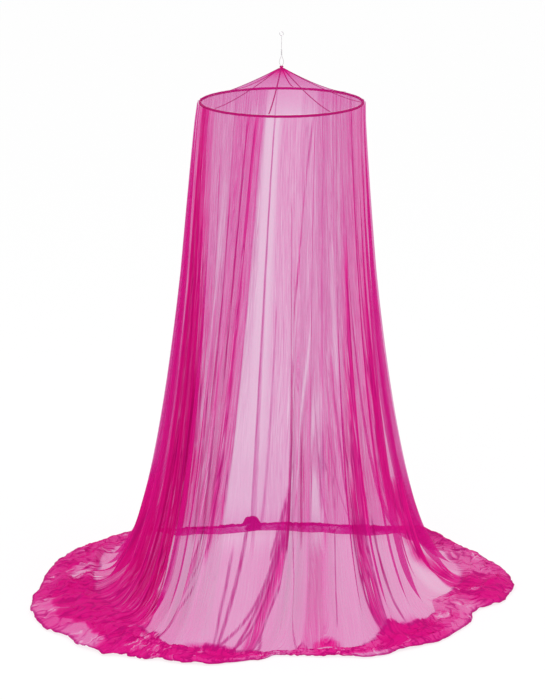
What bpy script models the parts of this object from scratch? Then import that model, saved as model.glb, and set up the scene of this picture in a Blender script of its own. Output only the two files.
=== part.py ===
"""Mosquito net canopy: a low crown over a covered hoop, and a full net that falls to the floor and lies out."""

import math
from collections import namedtuple

import bmesh
import bpy
import numpy as np
from mathutils import Vector

# Heights, in metres, above the floor that the hem lies on.
HOOP_HEIGHT = 1.908
CROWN_RISE = 0.128
NECK_LENGTH = 0.006
LOOP_LENGTH = 0.036
KNOT_LENGTH = 0.028
STEM_LENGTH = 0.046
RING_RADIUS = 0.0070
RING_WIRE = 0.0012

# Hoop and what is sewn to it.
HOOP_RADIUS = 0.300
ROD_RADIUS = 0.0030
SLEEVE_INSIDE = 0.0034
SLEEVE_OUTSIDE = 0.0052
SLEEVE_SLIT_DEG = 24
NET_THICKNESS = 0.0020
CROWN_THICKNESS = 0.0014
GAP = 0.0004

# Crown: eight gores, which sag a little between their bound seams.
SEAM_COUNT = 8
FIRST_SEAM_BEARING = -9
CROWN_SAG_POWER = 1.35
GORE_SAG = 0.007
NECK_RADIUS = 0.0046
SEAM_RADIUS = 0.0013
SEAM_LIFT = 0.0004

# Hanging line, tied in a loop.
LINE_RADIUS = 0.0010
LOOP_HALF_WIDTH = 0.0078
LOOP_DIP = 0.011
KNOT_RADIUS = 0.0030
KNOT_TURNS = 5

# Binding round the crown's neck.
BINDING_DROP = 0.0054
BINDING_LENGTH = 0.0048
BINDING_TURNS = 2
BINDING_THICKNESS = 0.0022

# The net's fall, as shares of the way from the hoop out to the hem of each fold, and how far the whole net
# hangs towards -X at its waist.
WAIST_OUT, WAIST_HEIGHT = 0.13, 0.40
KNEE_SHARE, KNEE_HEIGHT = 0.50, 0.005
SWAY = 0.010
TOP_FOLD_SHARE = 0.10
HEM_FOLD_SHARE = 0.45
FLOOR_LIFT = 0.0014
MOUND_START, MOUND_END, MOUND_SHARE = 0.42, 1.05, 0.45
RIPPLE_WAVES = 1.6
HANGING_ROWS, PUDDLE_ROWS = 11, 7
COLUMNS_A_FOLD = 4
SEAM_ALLOWANCE = 0.0020

# Each main fold: its bearing from the front, in degrees, at the hoop, at the waist half way down the fall
# and at the foot; how far out its hem lies; the share of the way out at which it meets the floor; how deep
# it is; how far it leans over its neighbour, in degrees; and how high the net is piled beyond its foot.
Fold = namedtuple("Fold", "top waist foot reach landing depth lean pile")
FRONT_FOLDS = [
    Fold(-87, -90, -90, 0.928, 0.67, 0.022, 1.8, 0.074),
    Fold(-80, -84, -82, 0.960, 0.65, 0.024, 2.6, 0.070),
    Fold(-74, -77, -74, 0.982, 0.64, 0.024, 2.8, 0.063),
    Fold(-68, -69, -65, 0.976, 0.64, 0.023, 2.8, 0.058),
    Fold(-62, -60, -57, 0.948, 0.64, 0.021, 2.4, 0.048),
    Fold(-56, -52, -50, 0.958, 0.66, 0.020, 2.0, 0.046),
    Fold(-47, -46, -44, 0.944, 0.68, 0.021, -1.8, 0.044),
    Fold(-37, -41, -39, 0.897, 0.72, 0.019, 1.6, 0.038),
    Fold(-27, -36, -35, 0.876, 0.75, 0.020, 2.0, 0.032),
    Fold(-17, -30, -30, 0.853, 0.79, 0.022, 2.4, 0.026),
    Fold(-6, -21, -21, 0.830, 0.83, 0.016, -1.2, 0.028),
    Fold(5, 4, -7, 0.728, 0.90, 0.022, -2.4, 0.020),
    Fold(14, 8, -1, 0.695, 0.90, 0.014, 1.2, 0.018),
    Fold(23, 13, 6, 0.694, 0.90, 0.018, 1.6, 0.020),
    Fold(30, 21, 14, 0.724, 0.88, 0.018, -1.8, 0.030),
    Fold(38, 31, 25, 0.782, 0.84, 0.022, 1.8, 0.026),
    Fold(46, 41, 38, 0.778, 0.81, 0.024, 2.6, 0.044),
    Fold(55, 53, 47, 0.802, 0.79, 0.020, -1.8, 0.036),
    Fold(62, 64, 59, 0.806, 0.71, 0.021, 2.0, 0.027),
    Fold(70, 73, 71, 0.785, 0.64, 0.024, 2.4, 0.035),
    Fold(79, 81, 81, 0.865, 0.66, 0.024, 1.8, 0.048),
]
BACK_FOLDS = [
    Fold(91, 91, 90, 0.915, 0.67, 0.022, -1.2, 0.050),
    Fold(100, 100, 100, 0.904, 0.70, 0.022, 1.5, 0.046),
    Fold(111, 111, 112, 0.872, 0.74, 0.024, -1.5, 0.040),
    Fold(123, 123, 124, 0.846, 0.80, 0.021, 1.5, 0.034),
    Fold(135, 135, 136, 0.862, 0.82, 0.024, -1.5, 0.030),
    Fold(147, 148, 147, 0.742, 0.88, 0.021, 1.5, 0.022),
    Fold(158, 160, 159, 0.706, 0.90, 0.018, -1.5, 0.020),
    Fold(170, 175, 174, 0.690, 0.90, 0.016, 1.2, 0.018),
    Fold(183, 192, 190, 0.692, 0.88, 0.020, 1.8, 0.028),
    Fold(196, 203, 203, 0.707, 0.88, 0.018, -1.5, 0.020),
    Fold(209, 213, 214, 0.766, 0.84, 0.021, 1.5, 0.022),
    Fold(222, 224, 225, 0.872, 0.78, 0.022, -1.5, 0.044),
    Fold(234, 236, 237, 0.890, 0.74, 0.022, 1.6, 0.060),
    Fold(245, 246, 247, 0.922, 0.70, 0.022, -1.5, 0.070),
    Fold(255, 256, 256, 0.932, 0.68, 0.024, 1.5, 0.076),
    Fold(264, 264, 264, 0.934, 0.67, 0.022, -1.2, 0.076),
]
FOLDS = FRONT_FOLDS + BACK_FOLDS

TIP_HEIGHT = HOOP_HEIGHT + CROWN_RISE + NECK_LENGTH
KNOT_FOOT = TIP_HEIGHT + LOOP_LENGTH
LINE_TOP = KNOT_FOOT + KNOT_LENGTH + STEM_LENGTH
RING_HEIGHT = LINE_TOP + GAP + RING_RADIUS + RING_WIRE

NET_PINK = (0.60, 0.003, 0.19, 1.0)
SEAM_PINK = (0.42, 0.004, 0.14, 1.0)
CLEAR_LINE = (0.80, 0.80, 0.80, 1.0)
STEEL = (0.62, 0.62, 0.63, 1.0)
ROD_WHITE = (0.86, 0.86, 0.85, 1.0)


def clear_scene():
    for obj in list(bpy.data.objects):
        bpy.data.objects.remove(obj, do_unlink=True)


def material(name, colour, roughness, metallic=0.0):
    made = bpy.data.materials.new(name)
    made.use_nodes = True
    shader = made.node_tree.nodes["Principled BSDF"]
    shader.inputs["Base Color"].default_value = colour
    shader.inputs["Roughness"].default_value = roughness
    shader.inputs["Metallic"].default_value = metallic
    return made


def place(obj, parent, made_of):
    """Links an object into the canopy's collection, under the empty that stands on the floor."""
    for collection in list(obj.users_collection):
        collection.objects.unlink(obj)
    bpy.data.collections["mosquito_net_canopy"].objects.link(obj)
    obj.parent = parent
    obj.data.materials.clear()
    obj.data.materials.append(made_of)
    return obj


def round_the_hoop(values, at):
    """Reads a column of the fold table at fold positions, with smooth steps from fold to fold."""
    count = len(values)
    base = np.floor(at).astype(int)
    share = at - base
    share = share * share * (3 - 2 * share)
    values = np.asarray(values)
    return values[base % count] * (1 - share) + values[(base + 1) % count] * share


def bearing_at(at, level):
    """The bearing of a fold position at a level of the table, in degrees, growing past each full turn."""
    count = len(FOLDS)
    bearings = [getattr(fold, level) for fold in FOLDS]
    turns = [bearing + 360 * turn for turn in (-1, 0, 1) for bearing in bearings]
    return np.interp(at, np.arange(-count, 2 * count), turns)


def sweep(at, hanging):
    """The bearing of a fold on its way down: a curve through those at the hoop, the waist and the foot."""
    return (
        bearing_at(at, "top") * (1 - hanging) * (1 - 2 * hanging)
        + bearing_at(at, "waist") * 4 * hanging * (1 - hanging)
        + bearing_at(at, "foot") * hanging * (2 * hanging - 1)
    )


def fall(reach, landing, share):
    """Outward distance, height and outward normal of the smooth net, from the hoop at 0 to the floor at 1."""
    start = HOOP_RADIUS + SLEEVE_OUTSIDE + GAP + NET_THICKNESS / 2
    out = reach - HOOP_RADIUS
    points = (
        (start, HOOP_HEIGHT),
        (HOOP_RADIUS + WAIST_OUT * out, WAIST_HEIGHT * HOOP_HEIGHT),
        (HOOP_RADIUS + KNEE_SHARE * landing * out, KNEE_HEIGHT),
        (HOOP_RADIUS + landing * out, 0.0),
    )
    rest = 1 - share
    weights = (rest**3, 3 * rest**2 * share, 3 * rest * share**2, share**3)
    slopes = (-(rest**2), rest**2 - 2 * rest * share, 2 * rest * share - share**2, share**2)
    radius, height = (sum(w * p[k] for w, p in zip(weights, points)) for k in (0, 1))
    along_r, along_z = (sum(s * p[k] for s, p in zip(slopes, points)) for k in (0, 1))
    length = np.hypot(along_r, along_z)
    return radius, height, -along_z / length, along_r / length


def net_point(at, down):
    """A point of the net at a fold position and a row, where down is 0 to 1 as it hangs and 1 to 2 on the floor."""
    reach, landing, depth, lean, pile = (
        round_the_hoop([getattr(fold, column) for fold in FOLDS], at)
        for column in ("reach", "landing", "depth", "lean", "pile")
    )
    hanging, lying = min(down, 1.0), max(down - 1.0, 0.0)
    radius, height, normal_r, normal_z = fall(reach, landing, hanging)
    radius = radius + lying * (1 - landing) * (reach - HOOP_RADIUS)
    out_share = (radius - HOOP_RADIUS) / (reach - HOOP_RADIUS)
    fold_share = TOP_FOLD_SHARE + (1 - TOP_FOLD_SHARE) * math.sin(math.pi / 2 * min(1.0, hanging * 1.3))
    fold_share *= 1 - (1 - HEM_FOLD_SHARE) * lying
    turn = 2 * math.pi * at
    swell = depth * fold_share * (np.cos(turn) + max(0.0, 1 - 5 * hanging))
    radius = radius + swell * normal_r
    lifted = (depth * fold_share + swell) * normal_z
    mound = np.sin(math.pi * np.clip((out_share - MOUND_START) / (MOUND_END - MOUND_START), 0, 1)) ** 0.8
    crumple = 0.5 - 0.5 * np.cos(2 * math.pi * (RIPPLE_WAVES * lying + 0.37 * np.sin(1.7 * turn / 4)))
    lifted = lifted + pile * mound * (MOUND_SHARE + (1 - MOUND_SHARE) * crumple)
    bearing = np.radians(sweep(at, hanging) + lean * fold_share * np.cos(turn))
    sway = SWAY * math.sin(math.pi * math.sqrt(hanging))
    return np.stack(
        [
            radius * np.sin(bearing) - sway,
            -radius * np.cos(bearing),
            height + lifted + FLOOR_LIFT * normal_z,
        ],
        axis=-1,
    )


def sheet_mesh(name, rows, closed=False):
    """A mesh from rows of points, facing outwards. A closed one joins its last column to its first."""
    mesh = bmesh.new()
    grid = [[mesh.verts.new(point) for point in row] for row in rows]
    columns = len(rows[0])
    for upper, lower in zip(grid, grid[1:]):
        for i in range(columns if closed else columns - 1):
            j = (i + 1) % columns
            mesh.faces.new((upper[i], lower[i], lower[j], upper[j]))
    data = bpy.data.meshes.new(name)
    mesh.to_mesh(data)
    mesh.free()
    data.shade_smooth()
    return bpy.data.objects.new(name, data)


def thicken(obj, thickness):
    wall = obj.modifiers.new("cloth thickness", "SOLIDIFY")
    wall.thickness = thickness
    wall.offset = 0
    wall.use_even_offset = False


def drape_panel(name, first_fold, folds, parent, made_of):
    """One width of the net, from the seam before its first fold to the seam after its last."""
    columns = folds * COLUMNS_A_FOLD
    at = first_fold - 0.5 + np.arange(columns + 1) / COLUMNS_A_FOLD
    downs = [i / HANGING_ROWS for i in range(HANGING_ROWS)]
    downs += [1 + i / PUDDLE_ROWS for i in range(PUDDLE_ROWS + 1)]
    rows = [net_point(at, down) for down in downs]
    for row in rows:
        for edge, inner in ((0, 1), (-1, -2)):
            inward = row[inner] - row[edge]
            row[edge] += inward / np.linalg.norm(inward) * SEAM_ALLOWANCE
    obj = sheet_mesh(name, rows)
    thicken(obj, NET_THICKNESS)
    return place(obj, parent, made_of)


def crown_height(share, bearing):
    """Height of the crown above the hoop, at a share of the hoop's radius and a bearing in radians."""
    rise = (CROWN_RISE - SLEEVE_OUTSIDE) * (1 - share) ** CROWN_SAG_POWER
    between_seams = 0.5 - 0.5 * math.cos(SEAM_COUNT * (bearing - math.radians(FIRST_SEAM_BEARING)))
    sag = GORE_SAG * between_seams * math.sin(math.pi * share)
    return HOOP_HEIGHT + SLEEVE_OUTSIDE + GAP + CROWN_THICKNESS / 2 + rise - sag


def on_bearing(radius, height, bearing):
    return Vector((radius * math.sin(bearing), -radius * math.cos(bearing), height))


def crown_net(parent, made_of):
    """The crown's net, gathered into a short neck at its tip."""
    columns, rings = SEAM_COUNT * 4, 7
    neck = NECK_RADIUS / HOOP_RADIUS
    rows = []
    bearings = [math.radians(FIRST_SEAM_BEARING) + 2 * math.pi * i / columns for i in range(columns)]
    for height in (TIP_HEIGHT, TIP_HEIGHT - NECK_LENGTH):
        rows.append([on_bearing(NECK_RADIUS, height, b) for b in bearings])
    for i in range(rings + 1):
        share = neck * 1.25 + (1 - neck * 1.25) * (i / rings)
        rows.append([on_bearing(share * HOOP_RADIUS, crown_height(share, b), b) for b in bearings])
    obj = sheet_mesh("crown_net", rows, closed=True)
    thicken(obj, CROWN_THICKNESS)
    return place(obj, parent, made_of)


def tube(name, points, radius, parent, made_of, resolution=2):
    """A round tube along a line of points, open at its ends but for flat caps."""
    curve = bpy.data.curves.new(name, "CURVE")
    curve.dimensions = "3D"
    curve.bevel_depth = radius
    curve.bevel_resolution = resolution
    curve.use_fill_caps = True
    line = curve.splines.new("POLY")
    line.points.add(len(points) - 1)
    for target, point in zip(line.points, points):
        target.co = (*point, 1)
    return place(bpy.data.objects.new(name, curve), parent, made_of)


def crown_seams(parent, made_of):
    """The bound seams between the gores, each a thin cord that lies on the crown from neck to hoop."""
    for i in range(SEAM_COUNT):
        bearing = math.radians(FIRST_SEAM_BEARING + 360 / SEAM_COUNT * i)
        lift = CROWN_THICKNESS / 2 + SEAM_RADIUS + SEAM_LIFT
        points = []
        for step in range(7):
            share = 0.032 + (1 - 0.032) * step / 6
            points.append(on_bearing(share * HOOP_RADIUS, crown_height(share, bearing) + lift * 1.12, bearing))
        tube(f"crown_seam_{i + 1}", points, SEAM_RADIUS, parent, made_of, resolution=0)


def ring_from(name, section, segments, parent, made_of):
    """A closed ring: a section of (radius, height) points, in order round the section, turned about the Z axis."""
    mesh = bmesh.new()
    verts = [mesh.verts.new((radius, 0, height)) for radius, height in section]
    edges = [mesh.edges.new((verts[i], verts[(i + 1) % len(verts)])) for i in range(len(verts))]
    bmesh.ops.spin(
        mesh,
        geom=verts + edges,
        cent=(0, 0, 0),
        axis=(0, 0, 1),
        angle=2 * math.pi,
        steps=segments,
        use_merge=True,
    )
    bmesh.ops.remove_doubles(mesh, verts=mesh.verts, dist=1e-5)
    bmesh.ops.recalc_face_normals(mesh, faces=mesh.faces)
    data = bpy.data.meshes.new(name)
    mesh.to_mesh(data)
    mesh.free()
    data.shade_smooth()
    return place(bpy.data.objects.new(name, data), parent, made_of)


def hoop_sleeve(parent, made_of):
    """The casing that wraps the hoop, with its slit underneath, where its edges are sewn."""
    first, last = math.radians(SLEEVE_SLIT_DEG / 2), math.radians(360 - SLEEVE_SLIT_DEG / 2)
    outer, inner = 8, 7
    section = []
    for i in range(outer):
        angle = first + (last - first) * i / (outer - 1)
        section.append((SLEEVE_OUTSIDE * math.sin(angle), -SLEEVE_OUTSIDE * math.cos(angle)))
    for i in reversed(range(inner)):
        angle = first + (last - first) * i / (inner - 1)
        section.append((SLEEVE_INSIDE * math.sin(angle), -SLEEVE_INSIDE * math.cos(angle)))
    section = [(HOOP_RADIUS + x, HOOP_HEIGHT + z) for x, z in section]
    return ring_from("hoop_sleeve", section, 72, parent, made_of)


def hoop(parent, made_of):
    section = [
        (
            HOOP_RADIUS + ROD_RADIUS * math.cos(2 * math.pi * i / 6),
            HOOP_HEIGHT + ROD_RADIUS * math.sin(2 * math.pi * i / 6),
        )
        for i in range(6)
    ]
    return ring_from("hoop", section, 72, parent, made_of)


def wrapped_collar(name, foot, length, inside, bead, turns, parent, made_of):
    """A collar of round turns about the Z axis, such as a whipping or a barrel knot. Inside 0 makes it solid."""
    section = []
    for i in range(turns):
        for step in range(3):
            angle = math.pi * (step + 0.5) / 3
            height = foot + length * (i + 0.5 - 0.5 * math.cos(angle)) / turns
            section.append((inside + bead * (0.72 + 0.28 * math.sin(angle)), height))
    if inside:
        section += [(inside, section[-1][1]), (inside, section[0][1])]
        return ring_from(name, section, 12, parent, made_of)
    section = [(0, section[0][1])] + section + [(0, section[-1][1])]
    mesh = bpy.data.meshes.new(name)
    mesh.from_pydata([(x, 0, z) for x, z in section], [(i, i + 1) for i in range(len(section) - 1)], [])
    obj = place(bpy.data.objects.new(name, mesh), parent, made_of)
    turned = obj.modifiers.new("turned", "SCREW")
    turned.steps = turned.render_steps = 12
    turned.use_merge_vertices = True
    turned.merge_threshold = 1e-5
    turned.use_normal_flip = True
    return obj


def hanging_line(parent, line_made_of, ring_made_of):
    """The line's loop through the crown's neck, its knot, the single line above, and the ring at its top."""
    bottom = TIP_HEIGHT - LOOP_DIP
    top = KNOT_FOOT - GAP
    points = []
    for i in range(25):
        turn = math.pi * i / 24
        height = top - (top - bottom) * math.sin(turn) ** 0.8
        above = max(0.0, (height - TIP_HEIGHT) / (top - TIP_HEIGHT))
        width = 0.0014 + (LOOP_HALF_WIDTH - 0.0014) * math.sin(math.pi * above**0.8) ** 1.2
        side = -math.cos(turn) / max(1e-6, abs(math.cos(turn))) if i != 12 else 0.0
        points.append((side * width * min(1.0, abs(math.cos(turn)) * 3), 0, height))
    tube("hanging_loop", points, LINE_RADIUS, parent, line_made_of)
    wrapped_collar("hanging_knot", KNOT_FOOT, KNOT_LENGTH, 0, KNOT_RADIUS, KNOT_TURNS, parent, line_made_of)
    stem = [(0, 0, KNOT_FOOT + KNOT_LENGTH + GAP + (STEM_LENGTH - 2 * GAP) * i / 4) for i in range(5)]
    tube("hanging_line", stem, LINE_RADIUS, parent, line_made_of)
    bpy.ops.mesh.primitive_torus_add(
        location=(0, 0, RING_HEIGHT),
        rotation=(math.pi / 2, 0, 0),
        major_segments=20,
        minor_segments=8,
        major_radius=RING_RADIUS,
        minor_radius=RING_WIRE,
    )
    ring = bpy.context.active_object
    ring.name = "ceiling_ring"
    ring.data.shade_smooth()
    place(ring, parent, ring_made_of)


def build():
    clear_scene()
    collection = bpy.data.collections.new("mosquito_net_canopy")
    bpy.context.scene.collection.children.link(collection)
    floor = bpy.data.objects.new("floor_level", None)
    floor.location = (0, 0, -RING_HEIGHT)
    collection.objects.link(floor)
    net = material("pink net", NET_PINK, 0.85)
    seam = material("pink binding", SEAM_PINK, 0.80)
    line = material("clear line", CLEAR_LINE, 0.35)
    steel = material("ring steel", STEEL, 0.25, 1.0)
    rod = material("hoop rod", ROD_WHITE, 0.45)
    drape_panel("drape_front", 0, len(FRONT_FOLDS), floor, net)
    drape_panel("drape_back", len(FRONT_FOLDS), len(BACK_FOLDS), floor, net)
    crown_net(floor, net)
    crown_seams(floor, seam)
    hoop(floor, rod)
    hoop_sleeve(floor, seam)
    wrapped_collar(
        "crown_binding",
        TIP_HEIGHT - BINDING_DROP,
        BINDING_LENGTH,
        NECK_RADIUS + CROWN_THICKNESS / 2 + GAP,
        BINDING_THICKNESS,
        BINDING_TURNS,
        floor,
        seam,
    )
    hanging_line(floor, line, steel)


build()
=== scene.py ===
# %% [markdown]
# # A mosquito net canopy, dressed
#
# The real thing is about ten metres of fine dyed net, sewn in gathers to a covered hoop and
# let fall to the floor, where the spare length lies in soft piles. Nearly all of its look
# comes from how many layers of net the eye passes through, pale where the net is stretched
# open and deep pink where it is gathered. No mesh can hold a thousand pleats, so this lesson
# shares the work out. The main folds and the wider pleats are laid in the mesh. The finer
# gathers are a number at each point, which the finish turns into depth of colour.

import math
from collections import namedtuple

import bpy
import numpy as np
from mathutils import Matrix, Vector


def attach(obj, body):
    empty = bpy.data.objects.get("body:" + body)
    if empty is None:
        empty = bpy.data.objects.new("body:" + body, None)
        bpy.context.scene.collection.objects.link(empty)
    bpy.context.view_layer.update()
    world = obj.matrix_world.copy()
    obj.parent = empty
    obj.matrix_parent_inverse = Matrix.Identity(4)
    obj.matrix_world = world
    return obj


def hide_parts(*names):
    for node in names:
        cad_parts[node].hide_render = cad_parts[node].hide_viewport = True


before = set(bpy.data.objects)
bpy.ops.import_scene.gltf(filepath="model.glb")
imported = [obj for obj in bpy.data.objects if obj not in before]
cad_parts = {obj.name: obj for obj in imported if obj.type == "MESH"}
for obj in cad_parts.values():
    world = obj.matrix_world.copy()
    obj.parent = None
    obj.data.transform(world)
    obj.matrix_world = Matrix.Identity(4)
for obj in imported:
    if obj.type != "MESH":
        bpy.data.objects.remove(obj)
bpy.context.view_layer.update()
print("solids:", sorted(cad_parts))

# %% [markdown]
# ## Sizes
#
# The net's main sizes are the same ones that its solids were made from. The origin is the
# ring on the ceiling's hook, so the floor is that far below it.

# %% Sizes, in metres
HOOP_HEIGHT = 1.908
CROWN_RISE = 0.128
NECK_LENGTH = 0.006
LOOP_LENGTH = 0.036
KNOT_LENGTH = 0.028
STEM_LENGTH = 0.046
RING_RADIUS = 0.0070
RING_WIRE = 0.0012
HOOP_RADIUS = 0.300
SLEEVE_OUTSIDE = 0.0052
GAP = 0.0004
LOOP_DIP = 0.011
BINDING_DROP = 0.0054
TIP_HEIGHT = HOOP_HEIGHT + CROWN_RISE + NECK_LENGTH
KNOT_FOOT = TIP_HEIGHT + LOOP_LENGTH
LINE_TOP = KNOT_FOOT + KNOT_LENGTH + STEM_LENGTH
FLOOR = -(LINE_TOP + GAP + RING_RADIUS + RING_WIRE)
print("floor at", round(FLOOR, 4))

# %% [markdown]
# ## Camera
#
# The hoop is a true circle, so the flatness of its ellipse gives the camera's height, and a
# long lens from nine metres away gives the photograph's small difference between the
# hoop's near and far edges.

# %% Camera
CAMERA_BACK, CAMERA_ABOVE_FLOOR, CAMERA_ASIDE = 9.0, 3.487, -0.033
CAMERA_DOWN = 15.69
bpy.ops.object.camera_add(
    location=(CAMERA_ASIDE, -CAMERA_BACK, CAMERA_ABOVE_FLOOR + FLOOR),
    rotation=(math.radians(90 - CAMERA_DOWN), 0, 0),
)
camera = bpy.context.object
camera.data.lens = 126.9
camera.data.sensor_width = 36
bpy.context.scene.camera = camera
print("camera", CAMERA_BACK, "m away, looking down by", CAMERA_DOWN, "degrees")

# %% [markdown]
# ## Shader maths
#
# Node trees are easier to read as sums. This small class wraps a socket, so that ordinary
# Python operators add the Math nodes, and one method adds any other node.

# %% Shader maths
class Value:
    """A socket of a shader tree, on which ordinary arithmetic makes nodes."""

    def __init__(self, tree, socket):
        self.tree, self.socket = tree, socket

    def node(self, kind, settings=(), output=0, **inputs):
        """Adds any node: its type, settings, then inputs by name or by number, as i0, i1 and so on."""
        made = self.tree.nodes.new(kind)
        for key, value in dict(settings).items():
            setattr(made, key, value)
        for key, value in inputs.items():
            numbered = key[0] == "i" and key[1:].isdigit()
            target = made.inputs[int(key[1:])] if numbered else made.inputs[key.replace("_", " ")]
            if isinstance(value, Value):
                self.tree.links.new(value.socket, target)
            else:
                target.default_value = value
        return Value(self.tree, made.outputs[output])

    def math(self, operation, *others):
        inputs = {f"i{i}": value for i, value in enumerate((self, *others))}
        return self.node("ShaderNodeMath", {"operation": operation}, **inputs)

    def __add__(self, other):
        return self.math("ADD", other)

    def __sub__(self, other):
        return self.math("SUBTRACT", other)

    def __mul__(self, other):
        return self.math("MULTIPLY", other)

    def __truediv__(self, other):
        return self.math("DIVIDE", other)

    __radd__, __rmul__ = __add__, __mul__

    def __rsub__(self, other):
        return (self * -1) + other

    def __rpow__(self, other):
        return self.node("ShaderNodeMath", {"operation": "POWER"}, i0=other, i1=self)

    def smooth(self, low, high):
        """0 below low, 1 above high, with a soft step between."""
        steps = {"interpolation_type": "SMOOTHSTEP"}
        return self.node("ShaderNodeMapRange", steps, Value=self, From_Min=low, From_Max=high)

    def contour(self, level, sharpness):
        """1 along the line where the value passes a level, falling to 0 on both sides of it."""
        return (1 - (self - level).math("ABSOLUTE") * sharpness).math("MAXIMUM", 0.0)

    def mix(self, first, second):
        """Mixes two colours by this factor."""
        return self.node("ShaderNodeMix", {"data_type": "RGBA"}, output=2, i0=self, i6=first, i7=second)


def finish(name, roughness, **sockets):
    """Starts a material and returns it with its tree's helper and its shader."""
    made = bpy.data.materials.new(name)
    made.use_nodes = True
    shader = made.node_tree.nodes["Principled BSDF"]
    shader.inputs["Roughness"].default_value = roughness
    for key, value in sockets.items():
        shader.inputs[key.replace("_", " ")].default_value = value
    print("finish:", name)
    return made, Value(made.node_tree, None), shader


def feed(value, shader, *sockets):
    for socket in sockets:
        value.tree.links.new(value.socket, shader.inputs[socket])


def own_noise(tree, scale, detail):
    """Noise in the piece's own space, for cloudiness, dulling or grain."""
    place = tree.node("ShaderNodeTexCoord", output=3)
    return tree.node("ShaderNodeTexNoise", Vector=place, Scale=scale, Detail=detail)


# %% [markdown]
# ## Floor and light
#
# Net shows best in even, soft light from all round. A broad lamp high in front and a weaker
# one at the side round the piles. The floor and the backdrop are plain and nearly white, so
# that the pink seen through one or two layers is the net's own. The floor also glows, which
# keeps the shadow on it faint.

# %% Floor and light
BELOW_HEM = 0.002
FLOOR_GREY, WHITE = (0.20, 0.20, 0.20, 1), (1, 1, 1, 1)
bpy.ops.mesh.primitive_plane_add(size=40, location=(0, 0, FLOOR - BELOW_HEM))
floor = bpy.context.object
floor.name = "studio_floor"
plain = dict(Base_Color=FLOOR_GREY, Emission_Color=WHITE, Emission_Strength=0.79, Specular_IOR_Level=0.0)
pale, tree, shader = finish("studio floor", 1.0, **plain)
floor.data.materials.append(pale)

world = bpy.data.worlds.new("soft studio")
world.use_nodes = True
world.node_tree.nodes["Background"].inputs["Color"].default_value = WHITE
world.node_tree.nodes["Background"].inputs["Strength"].default_value = 1.0
bpy.context.scene.world = world

LAMPS_AIM = Vector((0, 0, -1.2))
for name, place, size, watts in (
    ("front lamp", (-2.5, -5.0, 3.2), 3.0, 90),
    ("side lamp", (3.5, -2.5, 2.0), 2.5, 35),
):
    bpy.ops.object.light_add(type="AREA", location=place)
    lamp = bpy.context.object
    lamp.name = name
    lamp.data.size = size
    lamp.data.energy = watts
    lamp.rotation_euler = (LAMPS_AIM - Vector(place)).to_track_quat("-Z", "Y").to_euler()
    print(name, watts, "W")
bpy.context.scene.view_settings.view_transform = "Standard"
bpy.context.scene.cycles.transparent_max_bounces = 64

# %% [markdown]
# ## The net's finish
#
# Real gathers are finer than any mesh, so each point of a sheet carries a number: how many
# layers deep the net is gathered there. One layer lets 0.667 of the green light through and
# 0.745 of the blue, and several layers let through that share to the power of their number.
# Blue passes more easily than green, so a single layer looks a cool lilac pink and a pile a
# hot, deep one. Alpha on its own passes all colours alike. So a Mix Shader first lets the
# extra blue past, as violet, and Alpha is what the green then needs.
#
# Noise drawn out down the cloth, in two widths, makes it as streaky as hand-drawn gathers
# are, and thin lines along its contours are pleats pressed hard or pulled open. Where the
# net lies crumpled, a wavier noise gives its wrinkles: dark lines, with more layers and painted
# shade, and pale slits. The weave is a field of small cells. Pressed pleats, wrinkles,
# creases, bunches, the line where a pile begins and the hem get a darker pink, which is
# painted shade.

# %% The net's finish
GREEN_THROUGH, BLUE_THROUGH = 0.667, 0.745
THIN_PINK = (0.45, 0.003, 0.168, 1)
FULL_PINK = (0.51, 0.003, 0.158, 1)
DEEP_PINK = (0.46, 0.002, 0.140, 1)
# Painted shade: the darker pink of pressed pleats, wrinkles, creases, bunches, the line where a pile begins
# and the hem.
PAINTED_SHADE_PINK = (0.34, 0.002, 0.12, 1)
VIOLET_PASSED = (0.5, 0.0, 1.0, 1)
# The net glows faintly in the same pink as its base colour. This is painted light: it stands in for light
# scattered from thread to thread inside the piles, and lifts their shade.
PAINTED_GLOW = 0.38
LEAST_SHARE = 0.24


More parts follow.
